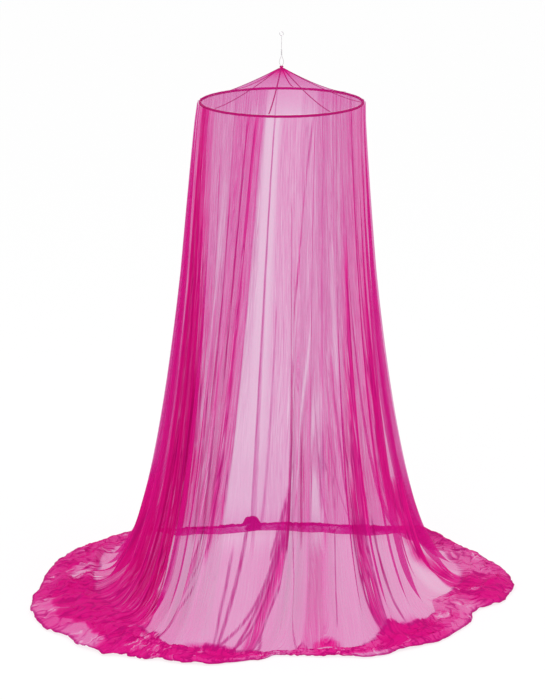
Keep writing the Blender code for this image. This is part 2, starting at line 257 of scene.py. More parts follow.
def net_finish(name):
    made, tree, shader = finish(name, 0.7, Specular_IOR_Level=0.05, Emission_Strength=PAINTED_GLOW)
    layers, fullness, painted_shade, streaky, crumpled = (
        tree.node("ShaderNodeAttribute", {"attribute_name": key}, output=2)
        for key in ("layers", "fullness", "painted_shade", "streaks", "crumpled")
    )
    cloth = tree.node("ShaderNodeUVMap", {"uv_map": "UVMap"})
    down_cloth = tree.node("ShaderNodeMapping", Vector=cloth, Scale=(1, 0.03, 1))
    narrow = tree.node("ShaderNodeTexNoise", Vector=down_cloth, Scale=90.0, Detail=1.0)
    hairline = tree.node("ShaderNodeTexNoise", Vector=down_cloth, Scale=240.0, Detail=1.0)
    opened, pressed = narrow.contour(0.60, 30), narrow.contour(0.43, 24)
    streak = (narrow - 0.5) * 2.2 + (hairline - 0.5) * 2.4 - opened * 0.55 + pressed * 0.9

    rumpled_cloth = tree.node("ShaderNodeMapping", Vector=cloth, Scale=(1, 0.34, 1))
    wavy = tree.node("ShaderNodeTexNoise", Vector=rumpled_cloth, Scale=36.0, Detail=1.0, Distortion=0.6)
    patch = tree.node("ShaderNodeTexNoise", Vector=rumpled_cloth, Scale=15.0, Detail=1.0)
    wrinkle = wavy.contour(0.45, 15) * crumpled
    slit = wavy.contour(0.57, 16) * patch.smooth(0.50, 0.62) * crumpled
    uneven = streak * streaky + wrinkle - slit * 0.78

    to_threads = {"feature": "DISTANCE_TO_EDGE"}
    cells = tree.node("ShaderNodeTexVoronoi", to_threads, Vector=cloth, Scale=420.0, Randomness=0.35)
    weave = cells.smooth(0.30, 0.05) * 0.30 + 0.87
    here = layers * (uneven + 1.0).math("MAXIMUM", LEAST_SHARE) * weave
    green_left = GREEN_THROUGH**here
    violet = BLUE_THROUGH**here - green_left
    feed(1 - green_left / (1 - violet), shader, "Alpha")
    passed = tree.node("ShaderNodeBsdfTransparent", Color=VIOLET_PASSED)
    seen = tree.node("ShaderNodeMixShader", i0=violet, i1=Value(tree.tree, shader.outputs[0]), i2=passed)
    feed(seen, made.node_tree.nodes["Material Output"], "Surface")

    full = fullness.smooth(0.8, 4.8).mix(THIN_PINK, FULL_PINK)
    deep = (fullness + uneven * 3.0).smooth(4.5, 10.5).mix(full, DEEP_PINK)
    # Painted shade: a darker pink where pleats are pressed, in wrinkles and creases, at bunches, along the
    # line where a pile begins and at the hem.
    surface_colour = (painted_shade + wrinkle * 0.8 + pressed * streaky).smooth(0.15, 0.85).mix(deep, PAINTED_SHADE_PINK)
    feed(surface_colour, shader, "Base Color", "Emission Color")
    return made


net_pink = net_finish("sheer pink net")

# %% [markdown]
# ## How the net hangs
#
# A table gives each main fold, in order round the hoop. Its first columns are those that
# the solids were made from, with small differences for some folds: the fold's bearing at
# the hoop, at the waist and at the foot, how far out its hem lies, where it lands, how deep
# it is, how far it leans over its neighbour and how high it piles. The rest belong to the
# sheet alone: how much of its end is scrunched up on the floor, how many layers deep the
# net is gathered at the hoop, at the waist, at the foot, along the floor and at the hem,
# and the level at which its piled part begins.

# %% The fold table
Fold = namedtuple(
    "Fold",
    "top waist foot reach landing depth lean pile scrunch "
    "at_hoop at_waist at_foot on_floor at_hem piled_from",
    defaults=(1.0,),
)
FRONT_FOLDS = [Fold(*row) for row in (
    (-87, -90, -90, 0.928, 0.67, 0.022, 1.8, 0.074, 0.5, 1.2, 1.0, 4.0, 9.0, 9.0),
    (-80, -84, -82, 0.960, 0.65, 0.024, 2.6, 0.070, 0.6, 1.5, 1.1, 7.0, 16.0, 9.0),
    (-73, -71, -74, 0.982, 0.64, 0.024, 2.8, 0.063, 0.7, 2.2, 2.4, 12.0, 16.0, 4.5),
    (-66, -62, -65, 0.976, 0.64, 0.023, 2.8, 0.058, 0.7, 9.5, 10.5, 13.0, 16.0, 6.0),
    (-61, -56, -57, 0.948, 0.64, 0.021, 2.4, 0.048, 0.6, 6.0, 11.0, 13.0, 14.0, 4.0),
    (-56, -50, -50, 0.958, 0.66, 0.020, 2.0, 0.046, 0.6, 2.2, 11.0, 13.0, 14.0, 3.5),
    (-47, -46, -44, 0.944, 0.68, 0.021, -1.8, 0.044, 0.8, 1.0, 4.0, 3.2, 13.0, 12.0),
    (-37, -41, -39, 0.897, 0.72, 0.019, 1.6, 0.038, 0.3, 1.1, 3.0, 2.6, 10.0, 12.0, 1.02),
    (-27, -36, -35, 0.876, 0.75, 0.020, 2.0, 0.032, 0.25, 2.2, 3.4, 2.9, 12.0, 12.0, 1.20),
    (-17, -30, -30, 0.853, 0.79, 0.022, 2.4, 0.026, 0.3, 2.6, 3.8, 2.5, 13.0, 12.0, 1.10),
    (-6, -21, -21, 0.830, 0.83, 0.016, -1.2, 0.028, 0.4, 0.70, 0.80, 2.3, 13.0, 9.0),
    (5, 4, -7, 0.728, 0.90, 0.022, -2.4, 0.020, 0.4, 1.9, 1.3, 2.6, 7.0, 5.0, 1.02),
    (14, 8, -1, 0.695, 0.90, 0.014, 1.2, 0.018, 0.3, 1.7, 2.6, 2.5, 4.0, 4.0, 1.25),
    (23, 13, 6, 0.694, 0.90, 0.018, 1.6, 0.020, 0.4, 1.3, 2.8, 2.7, 5.5, 6.0, 0.96),
    (30, 21, 14, 0.724, 0.88, 0.018, -1.8, 0.030, 0.6, 1.3, 2.8, 2.8, 10.0, 9.0, 1.20),
    (38, 31, 25, 0.782, 0.84, 0.022, 1.8, 0.026, 0.5, 1.0, 2.4, 2.5, 8.0, 3.0),
    (46, 41, 38, 0.778, 0.81, 0.024, 2.6, 0.044, 0.9, 1.2, 4.8, 2.8, 17.0, 8.0, 0.91),
    (55, 53, 47, 0.802, 0.79, 0.020, -1.8, 0.036, 0.8, 1.7, 3.0, 2.4, 17.0, 9.0, 0.97),
    (62, 64, 59, 0.806, 0.71, 0.014, 2.0, 0.027, 0.4, 1.6, 5.0, 2.4, 7.0, 4.5, 1.06),
    (70, 73, 71, 0.785, 0.64, 0.012, 2.4, 0.035, 0.3, 2.0, 3.4, 2.2, 4.5, 4.0, 1.04),
    (79, 81, 81, 0.865, 0.66, 0.018, 1.8, 0.048, 0.6, 1.6, 1.5, 1.6, 8.0, 7.0),
)]
BACK_FOLDS = [Fold(*row) for row in (
    (91, 91, 90, 0.915, 0.67, 0.022, -1.2, 0.050, 0.6, 2.0, 1.2, 1.8, 8.0, 7.0),
    (100, 100, 100, 0.904, 0.70, 0.022, 1.5, 0.046, 0.6, 2.8, 1.4, 2.6, 5.0, 7.0),
    (111, 111, 112, 0.872, 0.74, 0.024, -1.5, 0.040, 0.5, 2.4, 1.6, 2.0, 5.0, 7.0),
    (123, 123, 124, 0.846, 0.78, 0.021, 1.5, 0.030, 0.3, 2.6, 1.5, 1.8, 6.0, 7.0),
    (135, 135, 136, 0.862, 0.78, 0.024, -1.5, 0.026, 0.3, 2.8, 1.3, 1.5, 7.0, 6.0),
    (147, 148, 147, 0.742, 0.80, 0.006, 1.5, 0.018, 0.2, 2.6, 1.2, 1.3, 4.0, 8.0),
    (158, 160, 159, 0.706, 0.80, 0.006, -1.5, 0.016, 0.2, 1.3, 1.1, 1.2, 4.0, 8.0),
    (170, 175, 174, 0.690, 0.80, 0.006, 1.2, 0.015, 0.2, 0.70, 0.85, 1.1, 4.0, 8.0),
    (183, 192, 190, 0.692, 0.80, 0.006, 1.8, 0.018, 0.3, 0.80, 0.95, 1.2, 4.0, 8.0),
    (196, 203, 203, 0.707, 0.80, 0.006, -1.5, 0.016, 0.2, 2.1, 1.1, 1.2, 4.0, 8.0),
    (209, 213, 214, 0.766, 0.80, 0.006, 1.5, 0.018, 0.2, 2.3, 1.2, 1.3, 4.0, 8.0),
    (222, 224, 225, 0.872, 0.78, 0.022, -1.5, 0.044, 0.5, 2.3, 1.3, 1.5, 7.0, 6.0),
    (234, 236, 237, 0.890, 0.74, 0.022, 1.6, 0.060, 0.5, 2.6, 1.4, 1.8, 8.0, 6.0),
    (245, 246, 247, 0.922, 0.70, 0.022, -1.5, 0.070, 0.5, 3.0, 1.4, 2.6, 8.0, 8.0),
    (255, 256, 256, 0.932, 0.68, 0.024, 1.5, 0.076, 0.6, 2.2, 1.2, 3.0, 9.0, 9.0),
    (264, 264, 264, 0.934, 0.67, 0.022, -1.2, 0.076, 0.6, 1.5, 1.0, 2.4, 10.0, 9.0),
)]
FOLDS = FRONT_FOLDS + BACK_FOLDS
print(len(FRONT_FOLDS), "folds in front,", len(BACK_FOLDS), "behind")

# %% [markdown]
# ## Creases and bunches
#
# Some places are fuller or thinner than their fold. A crease is a thin line where the net
# is folded hard on itself or, with a negative count, a slit of stretched net. It runs from
# one fold position to another between two levels, 0 at the hoop, 1 where the net lands and
# 2 at the hem, and its bend is how far it bows aside half way. A crease also gets painted
# shade, a darker pink, in step with its layers. A bunch is a patch of the same kind, which
# may also lift the cloth, in metres, and darken it with painted shade.

# %% Creases and bunches
Crease = namedtuple("Crease", "start end width layers high low bend", defaults=(0.0,))
Bunch = namedtuple("Bunch", "at down across along layers lift dark", defaults=(0.0, 0.0))
CREASES = [Crease(*row) for row in (
    (9.05, 9.10, 0.09, 4.0, 0.00, 0.62),
    (9.12, 8.30, 0.026, 4.0, 0.60, 0.75),
    (8.30, 7.20, 0.026, 4.0, 0.75, 0.98),
    (8.72, 7.90, 0.024, 3.0, 0.58, 0.78),
    (8.36, 7.24, 0.026, 4.5, 0.58, 1.06, -0.26),
    (8.50, 7.30, 0.10, 1.4, 0.58, 1.06, -0.22),
    (6.12, 6.06, 0.024, 2.6, 0.60, 0.75),
    (5.24, 5.38, 0.50, -7.5, 0.59, 0.78),
    (5.75, 5.85, 0.20, 5.0, 0.86, 1.00),
    (9.45, 9.55, 0.05, 1.6, 0.02, 0.45),
    (10.20, 10.40, 0.03, 1.4, 0.00, 0.60),
    (10.30, 10.22, 0.022, 3.4, 0.56, 0.76),
    (10.22, 10.14, 0.022, 3.0, 0.76, 1.02),
    (10.13, 10.08, 0.020, 2.4, 0.62, 1.02),
    (8.45, 8.35, 0.06, 3.0, 0.00, 0.34),
    (8.00, 8.35, 0.06, 2.4, 0.30, 0.60),
    (7.60, 7.40, 0.06, 3.0, 0.10, 0.36),
    (7.10, 7.35, 0.05, 2.0, 0.34, 0.60),
    (6.45, 6.75, 0.05, 2.0, 0.05, 0.30),
    (7.20, 6.35, 0.22, -1.2, 0.08, 0.40),
    (11.40, 11.12, 0.13, 2.6, 0.30, 0.62),
    (11.42, 11.20, 0.07, 3.6, 0.38, 0.60),
    (11.30, 11.20, 0.05, 2.0, 0.10, 0.60),
    (11.10, 10.86, 0.09, 2.4, 0.49, 0.62),
    (11.16, 10.96, 0.022, 3.0, 0.49, 0.61),
    (11.00, 10.74, 0.022, 3.0, 0.51, 0.63),
    (11.16, 10.74, 0.11, 3.4, 0.56, 1.00, -0.19),
    (11.30, 10.87, 0.022, 3.2, 0.56, 1.02, -0.19),
    (11.02, 10.44, 0.026, 3.2, 0.56, 1.02, -0.14),
    (10.92, 10.10, 0.024, 3.2, 0.58, 1.00),
    (10.95, 10.40, 0.022, 3.0, 0.60, 1.00),
    (10.86, 11.40, 0.024, 3.4, 0.90, 1.30),
    (11.78, 12.95, 0.022, 3.6, 0.58, 1.05),
    (12.90, 11.50, 0.05, 3.0, 0.00, 0.24),
    (12.60, 12.70, 0.06, 2.0, 0.40, 0.60),
    (13.05, 13.40, 0.06, 2.2, 0.00, 0.50),
    (13.10, 12.00, 0.10, -1.5, 0.24, 0.48),
    (13.20, 13.20, 0.20, 0.5, 0.50, 0.98),
    (13.62, 13.56, 0.48, 1.0, 0.62, 0.98),
    (14.00, 14.10, 0.04, 1.4, 0.02, 0.60),
    (14.62, 14.40, 0.022, 2.6, 0.58, 0.86),
    (14.80, 14.90, 0.09, -1.0, 0.15, 0.32),
    (14.70, 15.30, 0.05, 2.0, 0.30, 0.70),
    (15.60, 15.60, 0.11, -1.0, 0.03, 0.36),
    (16.05, 15.80, 0.13, 5.0, 0.16, 0.60),
    (15.74, 15.80, 0.12, 5.0, 0.58, 0.96),
    (15.60, 15.70, 0.022, 3.0, 0.58, 0.96),
    (15.88, 15.92, 0.022, 3.0, 0.58, 0.96),
    (16.35, 16.50, 0.05, 2.5, 0.30, 0.58),
    (16.62, 16.68, 0.022, 4.0, 0.58, 0.92),
    (17.00, 17.05, 0.07, 4.0, 0.00, 0.20),
    (17.05, 19.40, 0.08, 4.0, 0.20, 0.62),
    (18.30, 18.20, 0.06, 2.5, 0.00, 0.40),
    (19.70, 20.10, 0.32, 7.0, 0.54, 0.74),
    (20.08, 20.62, 0.40, 8.0, 0.72, 0.90),
    (20.62, 20.40, 0.45, 8.0, 0.88, 1.20),
    (20.40, 20.30, 0.60, 8.0, 1.18, 1.60),
    (20.32, 20.50, 0.80, 9.0, 1.56, 2.10),
    (28.95, 29.00, 0.03, 1.6, 0.00, 1.00),
    (28.50, 28.85, 0.03, 1.3, 0.30, 1.00),
    (27.00, 27.00, 0.03, 1.3, 0.45, 0.90),
    (26.40, 26.00, 0.03, 1.3, 0.50, 0.90),
    (31.30, 31.60, 0.03, 1.3, 0.00, 0.60),
)]
BUNCHES = [Bunch(*row) for row in (
    (29.05, 1.52, 0.21, 0.46, 16.0, 0.000, 1.0),
    (29.05, 1.66, 0.20, 0.34, 0.0, 0.031),
    (27.50, 1.56, 4.40, 0.42, 1.0, 0.019, 0.5),
    (26.00, 1.50, 0.70, 0.42, 4.0, 0.008),
    (24.40, 1.50, 0.90, 0.42, 3.0, 0.006),
    (13.70, 0.46, 0.45, 0.12, -1.7),
    (-0.15, 1.24, 0.50, 0.22, -5.5),
    (0.50, 1.02, 0.20, 0.10, -3.0),
    (36.10, 1.24, 0.50, 0.22, -5.0),
    (10.05, 1.25, 0.60, 0.26, 4.0),
    (16.60, 1.20, 0.90, 0.24, 6.0),
    (13.95, 0.985, 0.42, 0.045, 6.0),
    (9.90, 1.02, 0.70, 0.06, 4.0),
)]
print(len(CREASES), "creases and", len(BUNCHES), "bunches")

# %% [markdown]
# ## Chance, but the same chance every time
#
# Cloth is never regular. These helpers give soft steps, and smooth random curves from a
# seed, so that pleats wander and piles differ, and every run still makes the same net.

# %% Seeded wandering
def ease(share):
    return share * share * (3 - 2 * share)


def rising(value, start, length):
    """0 up to a start, then a soft rise to 1 over a length."""
    return ease(np.clip((value - start) / length, 0, 1))


def inland(at):
    """0 at the side seam where the table starts and ends, 1 away from it, so that the widths meet."""
    return rising(np.minimum(at + 0.5, len(FOLDS) - 0.5 - at), 0, 0.7)


def wander(x, seed):
    """A smooth random curve between -1 and 1."""
    table = np.random.RandomState(seed).uniform(-1, 1, 4096)
    base = np.floor(x).astype(int)
    share = ease(x - base)
    return table[base % 4096] * (1 - share) + table[(base + 1) % 4096] * share


def wander_both(x, y, seed):
    """A smooth random surface between -1 and 1."""
    table = np.random.RandomState(seed).uniform(-1, 1, (512, 512))
    bx, by = np.floor(x).astype(int), np.floor(y).astype(int)
    sx, sy = ease(x - bx), ease(y - by)
    bx, by, cx, cy = bx % 512, by % 512, (bx + 1) % 512, (by + 1) % 512
    near = table[bx, by] * (1 - sx) + table[cx, by] * sx
    far = table[bx, cy] * (1 - sx) + table[cx, cy] * sx
    return near * (1 - sy) + far * sy


print("a wander's first steps:", wander(np.arange(3.0), 21).round(2))

# %% [markdown]
# ## The smooth fall
#
# Before any fold, the net's line from hoop to floor is a Bézier curve: nearly straight down
# at first, since the cloth's own weight pulls it, then a quick flare where the spare length
# starts to push it outwards along the floor. A fold's bearing runs on a curve too, through
# the three that the table gives.

# %% Reading the fold table
def along_folds(column, at):
    """Reads a column of the fold table at fold positions, with smooth steps from fold to fold."""
    values = np.array([getattr(fold, column) for fold in FOLDS])
    base = np.floor(at).astype(int)
    share = ease(at - base)
    return values[base % len(FOLDS)] * (1 - share) + values[(base + 1) % len(FOLDS)] * share


def bearing_at(at, level):
    """A fold position's bearing at a level of the table, in degrees, growing past each full turn."""
    count = len(FOLDS)
    bearings = [getattr(fold, level) for fold in FOLDS]
    turns = [bearing + 360 * turn for turn in (-1, 0, 1) for bearing in bearings]
    return np.interp(at, np.arange(-count, 2 * count), turns)


def sweep(at, hanging):
    """A fold's bearing on its way down: a curve through those at the hoop, the waist and the foot."""
    return (
        bearing_at(at, "top") * (1 - hanging) * (1 - 2 * hanging)
        + bearing_at(at, "waist") * 4 * hanging * (1 - hanging)
        + bearing_at(at, "foot") * hanging * (2 * hanging - 1)
    )


# %% The smooth fall
WAIST_OUT, WAIST_HEIGHT = 0.13, 0.40
KNEE_SHARE, KNEE_HEIGHT = 0.50, 0.005
HALF_NET = 0.001


def fall(reach, landing, share):
    """Outward distance, height and outward normal of the smooth net, from hoop at 0 to floor at 1."""
    out = reach - HOOP_RADIUS
    points = (
        (HOOP_RADIUS + SLEEVE_OUTSIDE + GAP + HALF_NET, HOOP_HEIGHT),
        (HOOP_RADIUS + WAIST_OUT * out, WAIST_HEIGHT * HOOP_HEIGHT),
        (HOOP_RADIUS + KNEE_SHARE * landing * out, KNEE_HEIGHT),
        (HOOP_RADIUS + landing * out, 0.0),
    )
    rest = 1 - share
    weights = (rest**3, 3 * rest**2 * share, 3 * rest * share**2, share**3)
    slopes = (-(rest**2), rest**2 - 2 * rest * share, 2 * rest * share - share**2, share**2)
    radius, height = (sum(w * p[k] for w, p in zip(weights, points)) for k in (0, 1))
    along_r, along_z = (sum(s * p[k] for s, p in zip(slopes, points)) for k in (0, 1))
    length = np.hypot(along_r, along_z)
    return radius, height, -along_z / length, along_r / length


print("half way down the net is", round(float(fall(0.9, 0.7, 0.5)[0]), 3), "m out")

# %% [markdown]
# ## How many layers
#
# The layers of the table hold along most of a fold and pass to its neighbour's half way
# between them. Down the cloth they change softly from column to column, but within a hand's
# width where the net lands in its pile, at a level of each fold's own.

# %% Layers of the table
LAYER_LEVELS = (
    (0.0, "at_hoop"), (0.50, "at_waist"), (0.64, "at_foot"), (0.970, "at_foot"),
    (1.005, "on_floor"), (1.62, "on_floor"), (1.70, "at_hem"), (2.0, "at_hem"),
)
PILE_SHIFT_FROM = 0.75


def piled_level(at, down):
    """The level, shifted so that 1 is where the piled part of the net begins, not where it lands."""
    uneven = 0.026 * wander(at * 0.8, 45) + 0.014 * wander(at * 2.1, 46)
    begins = along_folds("piled_from", at) + inland(at) * uneven
    above = PILE_SHIFT_FROM
    hanging = above + (down - above) * (1 - above) / (begins - above)
    lying = 2 - (2 - down) / (2 - begins)
    return np.where(down < above, down, np.where(down < begins, hanging, lying))


def layer_table(at, down):
    """How many layers deep the table makes the net at a fold position and level."""
    down = piled_level(at, down)
    at = np.floor(at) + ease(np.clip(2 * (at - np.floor(at)) - 0.5, 0, 1))
    before = (-1.0, *(level for level, column in LAYER_LEVELS))
    after = (*(level for level, column in LAYER_LEVELS[1:]), 3.0)
    layers = np.zeros_like(at)
    for (level, column), low, high in zip(LAYER_LEVELS, before, after):
        up = rising(down, low, level - low)
        away = ease(np.clip((high - down) / (high - level), 0, 1))
        layers = layers + along_folds(column, at) * np.where(down <= level, up, away)
    return layers


print("layers at a front fold's foot:", layer_table(np.array([3.0]), np.array([0.8])).round(1))

# %% [markdown]
# ## Hard little folds, creases and bunches
#
# Where the net is full, pleats pressed hard run down it. They could be modelled one by one,
# but there are hundreds, so they follow the contour lines of a wandering surface: thin
# lines of more layers and painted shade. The creases and bunches of the table come on top,
# with more layers and painted shade too, and a line of painted shade where a full pile
# begins. The same step says how streaky and how crumpled the finish is at each point.
# Streaks fade where the net is stretched, where it is so full that it looks solid, and on
# the floor, where wrinkles take their place.

# %% Hard little folds, creases and bunches
THINNEST = 0.75
RUN_WIDTH, RUN_LAYERS, RUN_PAINTED_SHADE = 0.14, 1.3, 0.8
PILE_LINE_LEVEL, PILE_LINE_WIDTH = 0.988, 0.009


def pressed_along(crease, at, down):
    """1 along a crease and 0 away from it, fading at its two ends."""
    along = (down - crease.high) / (crease.low - crease.high)
    middle = crease.start + (crease.end - crease.start) * along + crease.bend * 4 * along * (1 - along)
    ends = ease(np.clip(along * 6 + 0.5, 0, 1)) * ease(np.clip((1 - along) * 6 + 0.5, 0, 1))
    return ends * np.exp(-(((at - middle) / crease.width) ** 4))


def within(bunch, at, down):
    """1 inside a bunch and 0 outside it."""
    away = np.abs((at - bunch.at) / bunch.across) ** 3 + np.abs((down - bunch.down) / bunch.along) ** 3
    return np.exp(-(away**2))


def net_layers(at, down):
    """Layers, painted shade, and how streaky and how crumpled the net is, at fold positions and levels."""
    layers, level = layer_table(at, down), piled_level(at, down)
    lying = np.maximum(down - 1.0, 0.0)
    calm = 1.4 + 1.8 * rising(down, 0.5, 0.15)
    full = np.clip((layers - calm) / 3.0, 0, 1)
    bends = 1.9 * wander_both(at * 1.2, down * 2.0 + 7, 41)
    runs = wander_both(at * 5.0 + bends, down * 1.1 + 30, 42)
    run_lines = np.clip(1 - np.abs(runs) / RUN_WIDTH, 0, 1) * (1 - 0.9 * lying)
    layers = layers * (1 + full * (RUN_LAYERS * run_lines - 0.20 * (1 - lying)))
    # Painted shade, a darker pink, along pressed pleats, creases and bunches, and along the line where a
    # fuller pile begins.
    painted_shade = full * RUN_PAINTED_SHADE * run_lines
    for crease in CREASES:
        pressed = pressed_along(crease, at, down)
        layers = layers + crease.layers * pressed
        painted_shade = painted_shade + 0.012 * crease.layers / crease.width * pressed
    for bunch in BUNCHES:
        layers = layers + bunch.layers * within(bunch, at, down)
        painted_shade = painted_shade + bunch.dark * within(bunch, at, down)
    fuller_below = np.clip((along_folds("on_floor", at) - along_folds("at_foot", at)) / 6.0, 0, 1)
    painted_shade = painted_shade + 0.9 * fuller_below * np.exp(-(((level - PILE_LINE_LEVEL) / PILE_LINE_WIDTH) ** 2))
    layers = np.maximum(layers, THINNEST)

    on_floor = rising(level, 0.92, 0.10)
    high_up = ease(np.clip((0.62 - down) / 0.12, 0, 1))
    stretched = 0.10 + 0.40 * np.clip((layers - 0.95) / 0.5, 0, 1) * high_up
    solid = 0.6 * np.clip((layers - 8.0) / 3.0, 0, 1) * np.clip((0.68 - down) / 0.10, 0, 1)
    streaks = np.maximum(stretched, 0.10 + 0.80 * np.clip((layers - calm) / 3.0, 0, 1))
    streaks = streaks * (1 - solid) * (1 - 0.85 * on_floor)
    crumpled = on_floor * (0.55 + 0.45 * np.clip((layers - 2.0) / 5.0, 0, 1))
    return layers, np.clip(painted_shade, 0, 1), streaks, crumpled


# %% [markdown]
# ## Folds inside folds
#
# Three sizes of pleat are laid one on another, as on the real net: the main folds of the
# table, then pleats about a centimetre wide, then the fine gathers that the sewing at the
# hoop leaves. Each moves the sheet in and out and also a little sideways, because a fold
# that only waves in and out looks like corrugated card. The two smaller sizes grow with
# the number of layers, so that the stretched panels stay smooth.

# %% Pleats and gathers
PLEATS_A_FOLD, GATHERS_A_FOLD = 5, 12
PLEAT_LEAN, PLEAT_DEPTH = 0.20, 0.0040
GATHER_LEAN, GATHER_DEPTH = 0.08, 0.0012


def small_pleats(at, down):
    """How far the two smaller pleats move the sheet sideways, in degrees, and outwards, in metres."""
    hanging, lying = np.minimum(down, 1.0), np.maximum(down - 1.0, 0.0)
    full = inland(at) * np.clip((layer_table(at, down) - 1.0) / 7.0, 0.04, 1)
    drift = 0.55 * wander_both(at * 2.1, down * 3.0 + 40, 5)
    pleat_turn = 2 * math.pi * (PLEATS_A_FOLD * at + 0.8 * wander(at * 2.7, 7) + drift)
    pleat = full * (0.55 + 0.45 * wander(at * 1.9, 8)) * (1 - 0.85 * lying)
    gather_turn = 2 * math.pi * (GATHERS_A_FOLD * at + 0.9 * wander(at * 5.3, 9) + 0.5 * drift)
    gather = inland(at) * (0.2 + 0.8 * full) * (0.6 + 0.4 * wander(at * 3.1, 10))
    gather = gather * (1 - 0.5 * hanging) * (1 - 0.9 * lying)
    sideways = PLEAT_LEAN * pleat * np.cos(pleat_turn) + GATHER_LEAN * gather * np.cos(gather_turn)
    outwards = PLEAT_DEPTH * pleat * np.cos(pleat_turn) + GATHER_DEPTH * gather * np.cos(gather_turn)
    return sideways, outwards * np.minimum(1.0, 0.35 + 4 * hanging)


# %% [markdown]
# ## Piles on the floor
#
# Spare length pushed along a floor rises in a low mound, with lumps and small wrinkles. A
# cloth simulation would find a mound of its own, but the real piles lie where they were
# left, so each fold's mound has the height that the table gives it.

# %% Piles on the floor
MOUND_START, MOUND_END, MOUND_SHARE = 0.42, 1.02, 0.45
WRINKLE_HEIGHT = 0.0028


def piled_up(at, down, out_share, pile):
    """How high the sheet is lifted where it lies."""
    lying = np.maximum(down - 1.0, 0.0)
    mound = np.sin(math.pi * np.clip((out_share - MOUND_START) / (MOUND_END - MOUND_START), 0, 1)) ** 0.8
    lumps = 0.30 * wander_both(at * 1.3, down * 5.0, 12) + 0.26 * wander_both(at * 3.7, down * 9.0, 13)
    lumps = 0.5 + inland(at) * lumps
    wrinkles = inland(at) * WRINKLE_HEIGHT * wander_both(at * 7.1, down * 17.0, 14) * np.clip(lying * 5, 0, 1)
    lifted = pile * mound * (MOUND_SHARE + (1 - MOUND_SHARE) * lumps) + wrinkles + np.abs(wrinkles)
    return lifted + sum(bunch.lift * within(bunch, at, down) for bunch in BUNCHES)


# %% [markdown]
# ## The net's whole surface
#
# All of it comes together here. The folds open out from the hoop, are deepest three
# quarters of the way down and flatten where the net meets the floor. On the floor the cloth
# is rucked in waves, and its hem wanders in lobes.

# %% The net's whole surface
TOP_FOLD_SHARE, HEM_FOLD_SHARE, LANDED_FOLD_SHARE = 0.10, 0.10, 0.12
FOLD_LEAN = 0.35
SWAY = 0.010
CLEAR_OF_FLOOR = 0.0014


def net_surface(at, down):
    """Points of the net at fold positions and levels, which run from 0 at the hoop to 2 at the hem."""
    reach, landing, depth, lean, pile, scrunch = (
        along_folds(column, at) for column in ("reach", "landing", "depth", "lean", "pile", "scrunch")
    )
    hanging, lying = np.minimum(down, 1.0), np.maximum(down - 1.0, 0.0)
    radius, height, normal_r, normal_z = fall(reach, landing, hanging)

    wave = 2.4 * lying + 1.1 * wander(at * 1.9, 21) + 0.4 * wander_both(at * 3.3, down * 5.0, 22)
    rucked = scrunch * inland(at) * (0.07 + 0.05 * wander(at * 2.3, 25))
    rucked = rucked * np.sin(math.pi * np.clip(lying, 0, 1))
    spread = lying + rucked * np.cos(2 * math.pi * wave)
    lobes = 0.008 * wander(at * 0.9 + 50, 23) + 0.005 * wander(at * 2.3 + 50, 24)
    lobes = lobes + 0.002 * wander(at * 6.7, 26)
    radius = radius + spread * (1 - landing) * (reach - HOOP_RADIUS) + inland(at) * lobes * lying
    out_share = (radius - HOOP_RADIUS) / (reach - HOOP_RADIUS)

    opened = np.sin(math.pi / 2 * np.minimum(1.0, hanging * 1.3))
    fold_share = TOP_FOLD_SHARE + (1 - TOP_FOLD_SHARE) * opened
    fold_share = fold_share * (1 - (1 - LANDED_FOLD_SHARE) * rising(hanging, 0.72, 0.28))
    fold_share = fold_share * (1 - (1 - HEM_FOLD_SHARE) * lying)
    turn = 2 * math.pi * at
    swell = depth * fold_share * (np.cos(turn) + np.maximum(0.0, 1 - 5 * hanging))
    sideways, outwards = small_pleats(at, down)

    lifted = (depth * fold_share + swell + np.abs(outwards) + CLEAR_OF_FLOOR) * normal_z
    height = FLOOR + height + lifted + piled_up(at, down, out_share, pile)
    radius = radius + (swell + outwards) * normal_r
    bearing = np.radians(sweep(at, hanging) + FOLD_LEAN * lean * fold_share * np.cos(turn) + sideways)
    aside = SWAY * np.sin(math.pi * np.sqrt(hanging))
    return np.stack([radius * np.sin(bearing) - aside, -radius * np.cos(bearing), height], axis=-1)


# %% [markdown]
# ## Small helpers for modelling by hand
#
# Operators act on everything that is selected, so each piece starts from an empty
# selection. Every piece is then named, settled at the origin, given its finish, tied to the
# root and put in place of the solid that it stands for, which is hidden, in one way.

# %% Modelling helpers
def select_only(*pieces):
    """Leaves edit mode and selects these pieces and nothing else."""
    if bpy.context.object and bpy.context.object.mode != "OBJECT":
        bpy.ops.object.mode_set(mode="OBJECT")
    bpy.ops.object.select_all(action="DESELECT")
    for piece in pieces:
        piece.select_set(True)
        bpy.context.view_layer.objects.active = piece


def tie(piece, material, node):
    """Gives a piece its finish, ties it to the root and hides the solid that it stands for."""
    piece.data.materials.clear()
    piece.data.materials.append(material)
    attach(piece, "root")
    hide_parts(node)


def settle(piece, name, material, node):
    """Applies a piece's place, names it, gives it its finish and hides its solid."""
    select_only(piece)
    bpy.ops.object.transform_apply(location=True, rotation=True, scale=True)
    piece.name = piece.data.name = name
    tie(piece, material, node)
    print(name, "triangles", sum(len(face.vertices) - 2 for face in piece.data.polygons))


def laid_grid(columns, rows, place):
    """A grid of columns by rows, its points carried to place(u, v), both from 0 to 1. Its UV map is kept."""
    select_only()
    bpy.ops.mesh.primitive_grid_add(x_subdivisions=columns, y_subdivisions=rows, size=1)
    piece = bpy.context.object
    flat = np.empty(len(piece.data.vertices) * 3)
    piece.data.vertices.foreach_get("co", flat)
    flat = flat.reshape(-1, 3)
    points = place(flat[:, 0] + 0.5, 0.5 - flat[:, 1])
    piece.data.vertices.foreach_set("co", np.asarray(points).ravel())
    piece.data.shade_smooth()
    return piece


